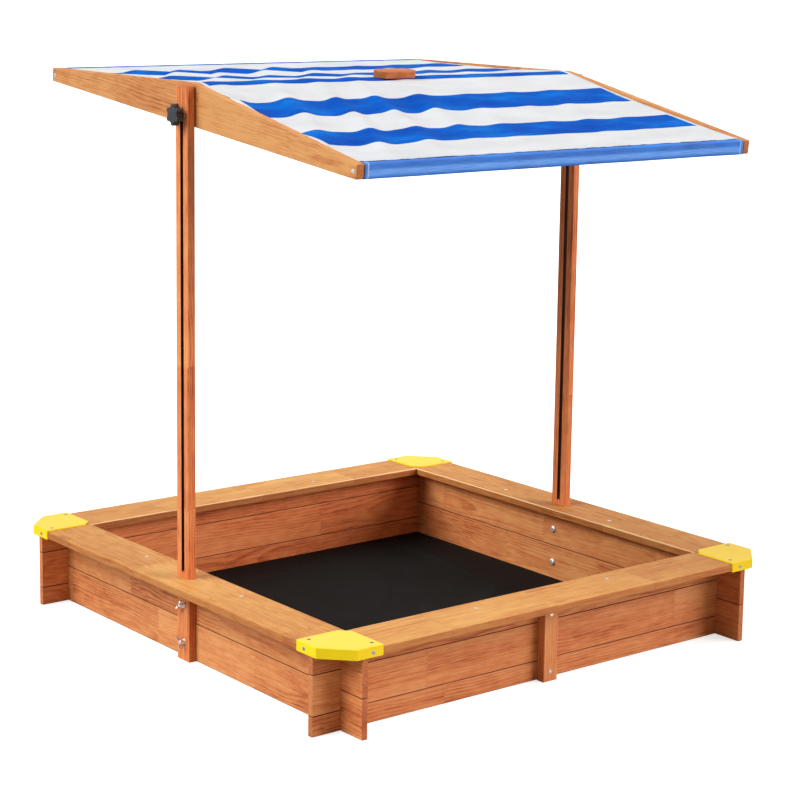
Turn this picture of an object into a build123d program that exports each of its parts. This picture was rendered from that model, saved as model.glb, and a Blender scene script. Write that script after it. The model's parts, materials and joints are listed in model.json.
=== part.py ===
from build123d import *
import os

# Sandpit with a roof that slides down two slotted posts, tilts, and closes the pit as its cover.
# Millimetres. X runs along the front, Y to the back, Z up; the origin is under the middle of the pit.

# Walls: log-cabin corners, two full boards at the sides, half + full + half at the front and back.
WALL_OUT = 518.0            # middle of the pit to the outer face of each wall
WALL_T = 13.0
BOARD_H = 81.0
WALL_H = 2 * BOARD_H
QUARTER = BOARD_H / 4       # depth of each corner notch
WING = 66.0                 # how far a board runs past the crossing wall
WALL_MID = WALL_OUT - WALL_T / 2
BOARD_HALF = WALL_OUT + WING
NOTCH_W = WALL_T + 0.4
BOARD_EASE = 1.6            # rounded long edges, which leave the groove at each seam

# Bench boards on top of the walls, mitred at the corners.
BENCH_OUT = 587.0
BENCH_IN = 474.0
BENCH_T = 16.0
BENCH_TOP = WALL_H + BENCH_T
BENCH_EASE = 3.5
MITRE_GAP = 0.3

# Moulded corner caps over the bench corners.
CAP_OUT = 589.6
CAP_IN = 472.0
CAP_CHAMFER = 55.0          # outer corner, along each side
CAP_INNER_CHAMFER = 20.0
CAP_T = 3.0
CAP_LIP = 18.0              # below the bench top
CAP_CORNER_R = 2.5
CAP_EDGE_R = 1.2
CAP_INNER_LAP = 5.0         # how far the cap lies on the bench inside its lip's hollow
CAP_TOP = BENCH_TOP + CAP_T

# Posts outside the side walls, with a slot for the roof bolts.
POST_T = 17.0
POST_W = 45.0
POST_TOP = 1188.0
POST_FIT = 0.3
SLOT_W = 9.0
SLOT_LOW = 190.0
SLOT_HIGH = 1140.0
POST_OUT = WALL_OUT + POST_T

# Cleats that hold the front and back boards together.
CLEAT_W = 37.0
CLEAT_T = 21.0
CLEAT_SCREW_Z = (20.0, 140.0)

# Fasteners.
POST_BOLT_R = 3.0
POST_BOLT_Z = (40.0, 120.0)
BENCH_SCREW_AT = 178.0
SCREW_R = 2.0
SCREW_HEAD_R = 4.2
SCREW_SUNK = 1.6
SCREW_PROUD = 0.4
HOLE_EASE = 0.1             # how much wider a screw's hole is than the screw
SCREW_CROSS = (5.0, 1.0, 2.2)           # each bar of the cross recess
NUT_TURN = {40.0: 25.0, 120.0: -40.0}   # how each wing nut came to rest
NUT_HUB_LOW_R = 6.0
NUT_HUB_HIGH_R = 4.6
NUT_HUB_H = 6.5
NUT_WING_R = 5.5
NUT_WING_T = 2.2
NUT_WING_X = 9.5
NUT_WING_Z = 8.0
NUT_WEB_X = 6.0
NUT_WEB_Z = 4.0
NUT_WEB_H = 7.0
POST_WASHER_R = 8.0
POST_BOLT_HEAD_R = 8.5
POST_BOLT_HEAD_H = 4.5
POST_BOLT_PROUD = 9.0       # past the washer
BENCH_SCREW_LEN = 45.0
CLEAT_SCREW_LEN = 31.0
CAP_SCREW_LEN = 14.0
LIP_SCREW_AT = 497.0
CAP_SCREW_NEAR = 486.0
CAP_SCREW_FAR = 570.0
ROOF_SCREW_LEN = 45.0
BLOCK_SCREW_LEN = 40.0

# Ground sheet inside the walls.
SHEET_T = 1.2
SHEET_HALF = WALL_OUT - WALL_T - 1.0

# Roof, drawn level and then tilted front-down about the bolts.
TILT = 6.6
PIVOT_Z = 1132.0
ROOF_OUT = 516.0            # outer face of each side board
ROOF_BOARD_T = 16.0
ROOF_IN = ROOF_OUT - ROOF_BOARD_T
ROOF_HALF = 552.0
ROOF_LOW = 1109.0
ROOF_END = 1138.0
ROOF_APEX = 1195.0
BAR_T = 18.0
BAR_H = 26.0
SLEEVE_T = 1.2              # fabric round a bar
SLEEVE_GAP = 0.1
BAR_Y = ROOF_HALF - 0.5 - SLEEVE_T - SLEEVE_GAP - BAR_T / 2
BAR_Z = ROOF_LOW + 0.3 + SLEEVE_T + SLEEVE_GAP + BAR_H / 2
RIDGE_W = 22.0
RIDGE_H = 30.0
RIDGE_TOP = 1192.4
CLOTH_T = 1.5
CLOTH_HALF = 497.0
BLOCK = (100.0, 42.0, 15.0)
BLOCK_CHAMFER = 12.0
BLOCK_SCREW_X = 30.0

ROOF_CORNER_R = 2.5
ROOF_EDGE = 1.0
BAR_EASE = 2.0
RIDGE_EASE = 2.5
BLOCK_EDGE = 2.5

# Roof bolts and knobs.
BOLT_R = 4.0
RUN = 0.05                  # running clearance on the radius
GAP = 0.3                   # between faces of different bodies
BOLT_HEAD_R = 9.0
BOLT_HEAD_H = 5.0
BOLT_END = 555.0
WASHER_R = 11.0
WASHER_T = 1.6
KNOB_R = 17.0
KNOB_LOBES = 6
KNOB_LOBE_R = 5.0
KNOB_NECK = 7.0
KNOB_NECK_R = 10.5
KNOB_NECK_TOP_R = 13.0
KNOB_EDGE_R = 1.5
KNOB_DEPTH = 21.0
KNOB_FACE = POST_OUT + GAP + WASHER_T + GAP
INSERT_R = 6.5
INSERT_LEN = 13.0
KNOB_BORE = 19.0

# Cutting tools.
PAST = 1.0                  # how far a cutting shape runs past the face it starts from
DRILL_FROM = 480.0          # where a hole along X starts, inside every board it goes through
DRILL_LEN = 80.0

SIDES = {"left": -1, "right": 1}
ENDS = {"front": -1, "back": 1}


def block(x, y, z):
    """A box between the two values of each pair."""
    size = [abs(pair[1] - pair[0]) for pair in (x, y, z)]
    middle = [(pair[0] + pair[1]) / 2 for pair in (x, y, z)]
    return Pos(*middle) * Box(*size)


def rod(radius, length):
    """A cylinder from the origin up +Z."""
    return Cylinder(radius, length, align=(Align.CENTER, Align.CENTER, Align.MIN))


def raise_up(outline, height):
    """Extrudes a flat outline up +Z, whichever way it was drawn."""
    return extrude(outline, height, dir=(0, 0, 1))


def along_x(shape, x, y, z, side):
    """Turns a shape drawn up +Z to point along +X or -X, and moves its origin to a place."""
    return Pos(x, y, z) * Rot(0, 90 * side, 0) * shape


def along_y(shape, x, y, z, end):
    """Turns a shape drawn up +Z to point along +Y or -Y, and moves its origin to a place."""
    return Pos(x, y, z) * Rot(-90 * end, 0, 0) * shape


def drilled(radius, side, z):
    """The tool for a hole along X through everything at one side of the pit, at a height."""
    return along_x(rod(radius, DRILL_LEN), side * DRILL_FROM, 0, z, side)


def tilted(shape):
    """Tilts a level roof part about the bolt axis, front edge down."""
    return Pos(0, 0, PIVOT_Z) * Rot(TILT, 0, 0) * Pos(0, 0, -PIVOT_Z) * shape


def group(shapes):
    """One node of separate solids."""
    return Compound([solid for shape in shapes for solid in shape.solids()])


# ---------------------------------------------------------------- fasteners


def screw_shape(length, ease=HOLE_EASE):
    """A wood screw's plain shape, head up +Z and sunk into the wood; eased, it is the hole for one."""
    head = Pos(0, 0, -SCREW_SUNK) * rod(SCREW_HEAD_R + ease, SCREW_SUNK + SCREW_PROUD)
    shank = Pos(0, 0, -length - ease) * rod(SCREW_R + ease, length + ease - SCREW_SUNK)
    return head + shank


def screw(length):
    """The wood screw with a cross recess and a rounded head."""
    body = screw_shape(length, 0.0)
    rim = body.edges().filter_by(GeomType.CIRCLE).sort_by(Axis.Z)[-1]
    body = fillet(rim, SCREW_PROUD * 0.8)
    for turn in (0, 90):
        body -= Pos(0, 0, SCREW_PROUD) * Rot(0, 0, turn) * Box(*SCREW_CROSS)
    return body


def domed_bolt(radius, head_r, head_h, length):
    """A carriage bolt: domed head up +Z from the origin, shank down -Z."""
    head = rod(head_r, head_h)
    head = fillet(head.edges().sort_by(Axis.Z)[-1], head_h * 0.85)
    return head + Pos(0, 0, -length) * rod(radius, length)


def ring(outer, inner, height):
    return rod(outer, height) - rod(inner, height)


def wing_nut():
    """A wing nut standing on the origin, bore up +Z."""
    bottom = (Align.CENTER, Align.CENTER, Align.MIN)
    hub = Cone(NUT_HUB_LOW_R, NUT_HUB_HIGH_R, NUT_HUB_H, align=bottom)
    wing = Pos(NUT_WING_X, 0, NUT_WING_Z) * Rot(90, 0, 0) * Cylinder(NUT_WING_R, NUT_WING_T)
    web = Pos(NUT_WEB_X, 0, NUT_WEB_Z) * Box(NUT_WEB_X, NUT_WING_T, NUT_WEB_H)
    for turn in (0, 180):
        hub += Rot(0, 0, turn) * (wing + web)
    return hub - rod(POST_BOLT_R, DRILL_LEN)


# ---------------------------------------------------------------- walls


def wall_section(height):
    return RectangleRounded(WALL_T, height, BOARD_EASE)


def wall_board_x(end, low, high, notches):
    """A front or back board, with notches for the side boards."""
    board = extrude(Plane.YZ * wall_section(high - low), BOARD_HALF, both=True)
    board = Pos(0, end * WALL_MID, (low + high) / 2) * board
    for side in SIDES.values():
        for notch in notches:
            x = (side * WALL_MID - NOTCH_W / 2, side * WALL_MID + NOTCH_W / 2)
            y = (end * WALL_MID - WALL_T, end * WALL_MID + WALL_T)
            board -= block(x, y, notch)
    return board


def wall_board_y(side, low, high, notches):
    """A side board, with notches for the front and back boards."""
    board = extrude(Plane.XZ * wall_section(high - low), BOARD_HALF, both=True)
    board = Pos(side * WALL_MID, 0, (low + high) / 2) * board
    for end in ENDS.values():
        for notch in notches:
            x = (side * WALL_MID - WALL_T, side * WALL_MID + WALL_T)
            y = (end * WALL_MID - NOTCH_W / 2, end * WALL_MID + NOTCH_W / 2)
            board -= block(x, y, notch)
    return board


def walls():
    """Each crossing is shared out in quarters of a board's height, so the boards lock together."""
    q = QUARTER
    parts = {}
    for name, side in SIDES.items():
        lower = wall_board_y(side, 0, 4 * q, [(-PAST, q), (3 * q, 4 * q + PAST)])
        upper = wall_board_y(side, 4 * q, 8 * q, [(4 * q - PAST, 5 * q), (7 * q, 8 * q + PAST)])
        parts["side_board_" + name + "_lower"] = lower
        parts["side_board_" + name + "_upper"] = upper
    for name, end in ENDS.items():
        lower = wall_board_x(end, 0, 2 * q, [(q, 2 * q + PAST)])
        middle = wall_board_x(end, 2 * q, 6 * q, [(2 * q - PAST, 3 * q), (5 * q, 6 * q + PAST)])
        upper = wall_board_x(end, 6 * q, 8 * q, [(6 * q - PAST, 7 * q)])
        parts[name + "_board_lower"] = lower
        parts[name + "_board_middle"] = middle
        parts[name + "_board_upper"] = upper
    return parts


# ---------------------------------------------------------------- benches and caps


def bench_board():
    """The front bench board, rounded on its top edges and mitred to the corner chamfers."""
    width = BENCH_OUT - BENCH_IN
    section = Rectangle(width, BENCH_T)
    section = fillet(section.vertices().group_by(Axis.Y)[-1], BENCH_EASE)
    board = extrude(Plane.YZ * section, BENCH_OUT, both=True)
    board = Pos(0, -(BENCH_OUT + BENCH_IN) / 2, WALL_H + BENCH_T / 2) * board
    skew = CAP_T * 2 ** 0.5
    corner = CAP_OUT - CAP_CHAMFER / 2 - skew / 2 - HOLE_EASE
    edge = 2 * corner - BENCH_OUT
    right = [
        (BENCH_IN - MITRE_GAP, -BENCH_IN),
        (corner - MITRE_GAP, -corner),
        (edge, -BENCH_OUT),
    ]
    left = [(-x, y) for x, y in reversed(right)]
    outline = Polygon(*right, *left, align=None)
    return board & Pos(0, 0, WALL_H - PAST) * raise_up(outline, BENCH_T + 2 * PAST)


def benches():
    front = bench_board()
    turns = {"front": 0, "right": 90, "back": 180, "left": 270}
    boards = {"bench_" + name: Rot(0, 0, turn) * front for name, turn in turns.items()}
    for name, side in SIDES.items():
        x = (side * (WALL_OUT - POST_FIT), side * (POST_OUT + POST_FIT))
        half = POST_W / 2 + POST_FIT
        boards["bench_" + name] -= block(x, (-half, half), (WALL_H - PAST, BENCH_TOP + PAST))
    return boards


def corner_cap():
    """The front-left cap: a six-sided plate with a lip down over the bench's outer edges."""
    out, inner, cut, small = CAP_OUT, CAP_IN, CAP_CHAMFER, CAP_INNER_CHAMFER
    outline = Polygon(
        (-out, -inner), (-out, -out + cut), (-out + cut, -out),
        (-inner, -out), (-inner, -inner - small), (-inner - small, -inner),
        align=None,
    )
    outline = fillet(outline.vertices(), CAP_CORNER_R)
    plate = Pos(0, 0, BENCH_TOP - CAP_LIP) * raise_up(outline, CAP_LIP + CAP_T)
    plate = fillet(plate.faces().sort_by(Axis.Z)[-1].edges(), CAP_EDGE_R)
    edge, bevel = BENCH_OUT, cut - CAP_T * (2 - 2 ** 0.5)
    far = inner - CAP_INNER_LAP
    core = Polygon(
        (-edge, -far), (-edge, -edge + bevel), (-edge + bevel, -edge), (-far, -edge), (-far, -far),
        align=None,
    )
    return plate - Pos(0, 0, BENCH_TOP - CAP_LIP - PAST) * raise_up(core, CAP_LIP + PAST)


def placed_screws(make, length):
    """The four screws of the front-left cap: two through the lip, two from above."""
    lip_z = BENCH_TOP - CAP_LIP / 2
    return [
        along_x(make(length), -CAP_OUT, -LIP_SCREW_AT, lip_z, -1),
        along_y(make(length), -LIP_SCREW_AT, -CAP_OUT, lip_z, -1),
        Pos(-CAP_SCREW_FAR, -CAP_SCREW_NEAR, CAP_TOP) * make(length),
        Pos(-CAP_SCREW_NEAR, -CAP_SCREW_FAR, CAP_TOP) * make(length),
    ]


def corners():
    """The four caps and their screws."""
    cap = corner_cap()
    for tool in placed_screws(screw_shape, CAP_SCREW_LEN):
        cap -= tool
    turns = {"front_left": 0, "front_right": 90, "back_right": 180, "back_left": 270}
    parts = {"corner_cap_" + name: Rot(0, 0, turn) * cap for name, turn in turns.items()}
    screws = placed_screws(screw, CAP_SCREW_LEN)
    parts["cap_screws"] = group(Rot(0, 0, turn) * one for turn in turns.values() for one in screws)
    return parts


# ---------------------------------------------------------------- posts and cleats


def post(side):
    section = RectangleRounded(POST_T, POST_W, BOARD_EASE)
    bar = Pos(side * (WALL_OUT + POST_T / 2), 0, 0) * extrude(section, POST_TOP)
    slot_mid = (SLOT_LOW + SLOT_HIGH) / 2
    slot = Plane.YZ * Rot(0, 0, 90) * SlotOverall(SLOT_HIGH - SLOT_LOW, SLOT_W)
    slot = extrude(slot, POST_T, both=True)
    return bar - Pos(side * (WALL_OUT + POST_T / 2), 0, slot_mid) * slot


def post_bolt(side, z):
    """A carriage bolt from the inner face of the wall out through the post."""
    length = WALL_T + POST_T + WASHER_T + POST_BOLT_PROUD
    bolt = domed_bolt(POST_BOLT_R, POST_BOLT_HEAD_R, POST_BOLT_HEAD_H, length)
    return along_x(bolt, side * (WALL_OUT - WALL_T), 0, z, -side)


def posts():
    """The posts with the bolts, washers and wing nuts that hold them to the walls."""
    parts = {}
    bolts, rings, nuts = [], [], []
    for name, side in SIDES.items():
        upright = post(side)
        for z in POST_BOLT_Z:
            upright -= drilled(POST_BOLT_R, side, z)
            bolts.append(post_bolt(side, z))
            washer = ring(POST_WASHER_R, POST_BOLT_R, WASHER_T)
            rings.append(along_x(washer, side * POST_OUT, 0, z, side))
            nut = Rot(0, 0, NUT_TURN[z]) * wing_nut()
            nuts.append(along_x(nut, side * (POST_OUT + WASHER_T), 0, z, side))
        parts["post_" + name] = upright
    parts["post_bolts"] = group(bolts)
    parts["post_washers"] = group(rings)
    parts["wing_nuts"] = group(nuts)
    return parts


def cleats():
    """One upright cleat outside the front wall and one outside the back wall."""
    parts = {}
    screws = []
    for name, end in ENDS.items():
        cleat = extrude(RectangleRounded(CLEAT_W, CLEAT_T, BOARD_EASE), WALL_H)
        cleat = Pos(0, end * (WALL_OUT + CLEAT_T / 2), 0) * cleat
        for z in CLEAT_SCREW_Z:
            place = (0, end * (WALL_OUT + CLEAT_T), z)
            cleat -= along_y(screw_shape(CLEAT_SCREW_LEN), *place, end)
            screws.append(along_y(screw(CLEAT_SCREW_LEN), *place, end))
        parts["cleat_" + name] = cleat
    parts["cleat_screws"] = group(screws)
    return parts


# ---------------------------------------------------------------- roof


def roof_side(side):
    """A side board: straight underneath, peaked on top, with a hole for the roof bolt."""
    outline = Polygon(
        (-ROOF_HALF, ROOF_LOW), (ROOF_HALF, ROOF_LOW), (ROOF_HALF, ROOF_END),
        (0, ROOF_APEX), (-ROOF_HALF, ROOF_END),
        align=None,
    )
    outline = fillet(outline.vertices().sort_by(Axis.Y)[:4], ROOF_CORNER_R)
    board = Pos(side * (ROOF_OUT - ROOF_BOARD_T / 2), 0, 0) * extrude(
        Plane.YZ * outline, ROOF_BOARD_T / 2, both=True
    )
    rims = board.faces().sort_by(Axis.X)
    board = chamfer(rims[0].edges() + rims[-1].edges(), ROOF_EDGE)
    return board - drilled(BOLT_R + RUN, side, PIVOT_Z)


def sleeve_outline(grow):
    return RectangleRounded(BAR_T + 2 * grow, BAR_H + 2 * grow, BAR_EASE + grow)


def end_bar(end):
    bar = extrude(Plane.YZ * sleeve_outline(0), ROOF_IN, both=True)
    return Pos(0, end * BAR_Y, BAR_Z) * bar


def ridge_bar():
    bar = extrude(Plane.YZ * RectangleRounded(RIDGE_W, RIDGE_H, RIDGE_EASE), ROOF_IN, both=True)
    return Pos(0, 0, RIDGE_TOP - RIDGE_H / 2) * bar


def cloth():
    """The canopy: one sheet over the ridge bar, with a sleeve round the bar at each end."""
    eaves_y = ROOF_HALF - 0.5 - BAR_T
    eaves_z = BAR_Z + BAR_H / 2 + SLEEVE_GAP + SLEEVE_T
    top = RIDGE_TOP + GAP + CLOTH_T
    upper = [(-eaves_y, eaves_z), (-RIDGE_W / 2, top), (RIDGE_W / 2, top), (eaves_y, eaves_z)]
    lower = [(y, z - CLOTH_T) for y, z in reversed(upper)]
    sheet = extrude(Plane.YZ * Polygon(*upper, *lower, align=None), CLOTH_HALF, both=True)
    for end in ENDS.values():
        tube = sleeve_outline(SLEEVE_GAP + SLEEVE_T) - sleeve_outline(SLEEVE_GAP)
        tube = extrude(Plane.YZ * tube, CLOTH_HALF, both=True)
        core = extrude(Plane.YZ * sleeve_outline(SLEEVE_GAP), CLOTH_HALF + PAST, both=True)
        place = Pos(0, end * BAR_Y, BAR_Z)
        sheet = (sheet + place * tube) - place * core
    return sheet


def ridge_block():
    """The clamping block over the ridge, with cut corners and rounded edges."""
    length, width, height = BLOCK
    cut = BLOCK_CHAMFER
    outline = Polygon(
        (-length / 2 + cut, -width / 2), (length / 2 - cut, -width / 2),
        (length / 2, -width / 2 + cut), (length / 2, width / 2 - cut),
        (length / 2 - cut, width / 2), (-length / 2 + cut, width / 2),
        (-length / 2, width / 2 - cut), (-length / 2, -width / 2 + cut),
        align=None,
    )
    body = raise_up(outline, height)
    body = fillet(body.faces().sort_by(Axis.Z)[-1].edges(), BLOCK_EDGE)
    return Pos(0, 0, RIDGE_TOP + GAP + CLOTH_T) * body


def roof_screw_places():
    """Each roof screw as (side, y, z), through a side board into a bar."""
    spots = [(-BAR_Y, BAR_Z), (BAR_Y, BAR_Z), (0, RIDGE_TOP - RIDGE_H / 2)]
    return [(side, y, z) for side in SIDES.values() for y, z in spots]


def roof():
    """All the roof's own parts, level."""
    parts = {"roof_side_" + name: roof_side(side) for name, side in SIDES.items()}
    parts.update({"roof_bar_" + name: end_bar(end) for name, end in ENDS.items()})
    parts["roof_ridge_bar"] = ridge_bar()
    parts["roof_fabric"] = cloth()
    parts["ridge_block"] = ridge_block()
    screws = []
    for side, y, z in roof_screw_places():
        tool = along_x(screw_shape(ROOF_SCREW_LEN), side * ROOF_OUT, y, z, side)
        screws.append(along_x(screw(ROOF_SCREW_LEN), side * ROOF_OUT, y, z, side))
        board = "roof_side_left" if side < 0 else "roof_side_right"
        for name in (board, "roof_bar_front", "roof_bar_back", "roof_ridge_bar"):
            parts[name] -= tool
    parts["roof_screws"] = group(screws)
    block_screws = []
    for x in (-BLOCK_SCREW_X, BLOCK_SCREW_X):
        place = Pos(x, 0, RIDGE_TOP - RIDGE_H) * Rot(180, 0, 0)
        block_screws.append(place * screw(BLOCK_SCREW_LEN))
        for name in ("roof_ridge_bar", "roof_fabric", "ridge_block"):
            parts[name] -= place * screw_shape(BLOCK_SCREW_LEN)
    parts["ridge_block_screws"] = group(block_screws)
    return {name: tilted(shape) for name, shape in parts.items()}


# ---------------------------------------------------------------- roof bolts and knobs


def roof_bolt(side):
    """A domed bolt from inside the roof, out through the side board and the post's slot."""
    head_x = ROOF_IN - GAP
    bolt = domed_bolt(BOLT_R, BOLT_HEAD_R, BOLT_HEAD_H, BOLT_END - head_x)
    return along_x(bolt, side * head_x, 0, PIVOT_Z, -side)


def knob(side):
    """A star knob with a neck towards the post, bored for its insert."""
    star = Circle(KNOB_R)
    for lobe in range(KNOB_LOBES):
        star += Rot(0, 0, lobe * 360 / KNOB_LOBES) * Pos(KNOB_R, 0) * Circle(KNOB_LOBE_R)
    head = Pos(0, 0, KNOB_NECK) * extrude(star, KNOB_DEPTH - KNOB_NECK)
    head = fillet(head.faces().sort_by(Axis.Z)[-1].edges(), KNOB_EDGE_R)
    bottom = (Align.CENTER, Align.CENTER, Align.MIN)
    neck = Cone(KNOB_NECK_R, KNOB_NECK_TOP_R, KNOB_NECK, align=bottom)
    body = head + neck - rod(INSERT_R, INSERT_LEN) - rod(BOLT_R + 2 * RUN, KNOB_BORE)
    return along_x(body, side * KNOB_FACE, 0, PIVOT_Z, side)


def knob_insert(side):
    return along_x(ring(INSERT_R, BOLT_R + RUN, INSERT_LEN), side * KNOB_FACE, 0, PIVOT_Z, side)


def bolts_and_knobs():
    parts = {}
    rings = []
    for name, side in SIDES.items():
        parts["roof_bolt_" + name] = roof_bolt(side)
        parts["knob_" + name] = knob(side)
        parts["knob_insert_" + name] = knob_insert(side)
        for x in (ROOF_OUT + (WALL_OUT - ROOF_OUT - WASHER_T) / 2, POST_OUT + GAP):
            washer = ring(WASHER_R, BOLT_R, WASHER_T)
            rings.append(along_x(washer, side * x, 0, PIVOT_Z, side))
    parts["roof_washers"] = group(rings)
    return parts


# ---------------------------------------------------------------- assembly


def bench_screws(parts):
    """Two screws down through each bench board into the wall under it."""
    screws = []
    for name, turn in (("front", 0), ("right", 90), ("back", 180), ("left", 270)):
        wall = name + "_board_upper" if name in ENDS else "side_board_" + name + "_upper"
        for x in (-BENCH_SCREW_AT, BENCH_SCREW_AT):
            place = Rot(0, 0, turn) * Pos(x, -WALL_MID, BENCH_TOP)
            screws.append(place * screw(BENCH_SCREW_LEN))
            for target in ("bench_" + name, wall):
                parts[target] -= place * screw_shape(BENCH_SCREW_LEN)
    return group(screws)


def assemble():
    parts = {}
    for section in (walls, benches, corners, posts, cleats, roof, bolts_and_knobs):
        parts.update(section())
    for name, side in SIDES.items():
        for z in POST_BOLT_Z:
            level = "lower" if z < BOARD_H else "upper"
            parts["side_board_" + name + "_" + level] -= drilled(POST_BOLT_R, side, z)
    for name, end in ENDS.items():
        for z, level in zip(CLEAT_SCREW_Z, ("lower", "upper")):
            place = (0, end * (WALL_OUT + CLEAT_T), z)
            parts[name + "_board_" + level] -= along_y(screw_shape(CLEAT_SCREW_LEN), *place, end)
    for turn in (0, 90, 180, 270):
        for tool in placed_screws(screw_shape, CAP_SCREW_LEN):
            for name in ("front", "right", "back", "left"):
                parts["bench_" + name] -= Rot(0, 0, turn) * tool
    parts["bench_screws"] = bench_screws(parts)
    half = (-SHEET_HALF, SHEET_HALF)
    parts["ground_sheet"] = block(half, half, (0, SHEET_T))
    return parts


os.makedirs("parts", exist_ok=True)
for node, shape in assemble().items():
    export_step(shape, "parts/" + node + ".step")
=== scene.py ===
import json
import math
import random

import bmesh
import bpy
import numpy as np
from mathutils import Matrix, Vector, noise


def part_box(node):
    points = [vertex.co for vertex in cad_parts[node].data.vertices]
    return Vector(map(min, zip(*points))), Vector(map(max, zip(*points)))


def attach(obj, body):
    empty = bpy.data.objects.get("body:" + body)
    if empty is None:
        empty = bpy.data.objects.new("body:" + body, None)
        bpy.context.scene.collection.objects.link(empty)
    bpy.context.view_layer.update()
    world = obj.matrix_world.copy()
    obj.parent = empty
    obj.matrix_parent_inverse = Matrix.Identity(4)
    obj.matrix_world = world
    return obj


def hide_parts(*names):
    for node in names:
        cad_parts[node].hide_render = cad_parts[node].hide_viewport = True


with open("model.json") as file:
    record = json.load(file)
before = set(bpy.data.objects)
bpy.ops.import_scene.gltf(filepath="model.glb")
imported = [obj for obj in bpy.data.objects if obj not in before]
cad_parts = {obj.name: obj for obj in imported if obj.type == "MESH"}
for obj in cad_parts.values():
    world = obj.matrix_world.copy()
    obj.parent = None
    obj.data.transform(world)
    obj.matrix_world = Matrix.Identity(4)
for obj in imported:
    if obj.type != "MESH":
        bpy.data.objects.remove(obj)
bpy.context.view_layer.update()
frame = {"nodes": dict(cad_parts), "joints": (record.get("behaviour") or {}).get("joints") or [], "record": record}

nodes = frame["nodes"]

# Lengths are in metres. +X is to the right along the front, +Y is to the back and +Z is up.

# ------------------------------------------------------------------ the roof's own frame
# The roof was drawn level and then tilted about its bolts.
ROOF_TILT = math.radians(6.6)
PIVOT = Vector(next(j for j in frame["joints"] if j["name"] == "roof_tilt")["pos_m"])
TO_ROOF = Matrix.Translation(PIVOT) @ Matrix.Rotation(ROOF_TILT, 4, "X") @ Matrix.Translation(-PIVOT)
FROM_ROOF = TO_ROOF.inverted()


def level_box(node):
    """A roof node's lowest and highest corners with the roof level."""
    points = [FROM_ROOF @ v.co for v in nodes[node].data.vertices]
    low = Vector([min(p[i] for p in points) for i in range(3)])
    high = Vector([max(p[i] for p in points) for i in range(3)])
    return low, high


# ------------------------------------------------------------------ objects
def add_object(name, data):
    """A new object in the scene."""
    obj = bpy.data.objects.new(name, data)
    bpy.context.scene.collection.objects.link(obj)
    return obj


def paint(obj, material):
    """Gives an object this material and no other."""
    obj.data.materials.clear()
    obj.data.materials.append(material)


def thicken(obj, thickness):
    """Gives a sheet its thickness, half of it on each side of the mesh."""
    modifier = obj.modifiers.new("thickness", "SOLIDIFY")
    modifier.thickness = thickness
    modifier.offset = 0.0


# ------------------------------------------------------------------ camera
CAMERA_AT = Vector((-2.825, -3.539, 1.420))
CAMERA_AZIMUTH = math.radians(36.59)
CAMERA_DOWN = math.radians(9.73)
CAMERA_ROLL = math.radians(0.43)
CAMERA_LENS = 94.85
CAMERA_SHIFT = (0.105, -0.0875)


def make_camera():
    """The photo's camera, as far as one that still works in the other views can match it."""
    data = bpy.data.cameras.new("camera")
    data.lens = CAMERA_LENS
    data.sensor_width = 36.0
    data.shift_x, data.shift_y = CAMERA_SHIFT
    data.clip_end = 100.0
    camera = add_object("camera", data)
    ahead = Vector((
        math.sin(CAMERA_AZIMUTH) * math.cos(CAMERA_DOWN),
        math.cos(CAMERA_AZIMUTH) * math.cos(CAMERA_DOWN),
        -math.sin(CAMERA_DOWN),
    ))
    right = ahead.cross(Vector((0, 0, 1))).normalized()
    up = right.cross(ahead)
    across = right * math.cos(CAMERA_ROLL) + up * math.sin(CAMERA_ROLL)
    above = up * math.cos(CAMERA_ROLL) - right * math.sin(CAMERA_ROLL)
    turn = Matrix((across, above, -ahead)).transposed()
    camera.matrix_world = Matrix.Translation(CAMERA_AT) @ turn.to_4x4()
    bpy.context.scene.camera = camera


make_camera()


# ------------------------------------------------------------------ node helpers
# A Mix node has sockets for every type of data. These are the places of the colours' ones.
COLOUR_A, COLOUR_B, COLOUR_OUT = 6, 7, 2
WHITE = (1.0, 1.0, 1.0, 1.0)


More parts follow.
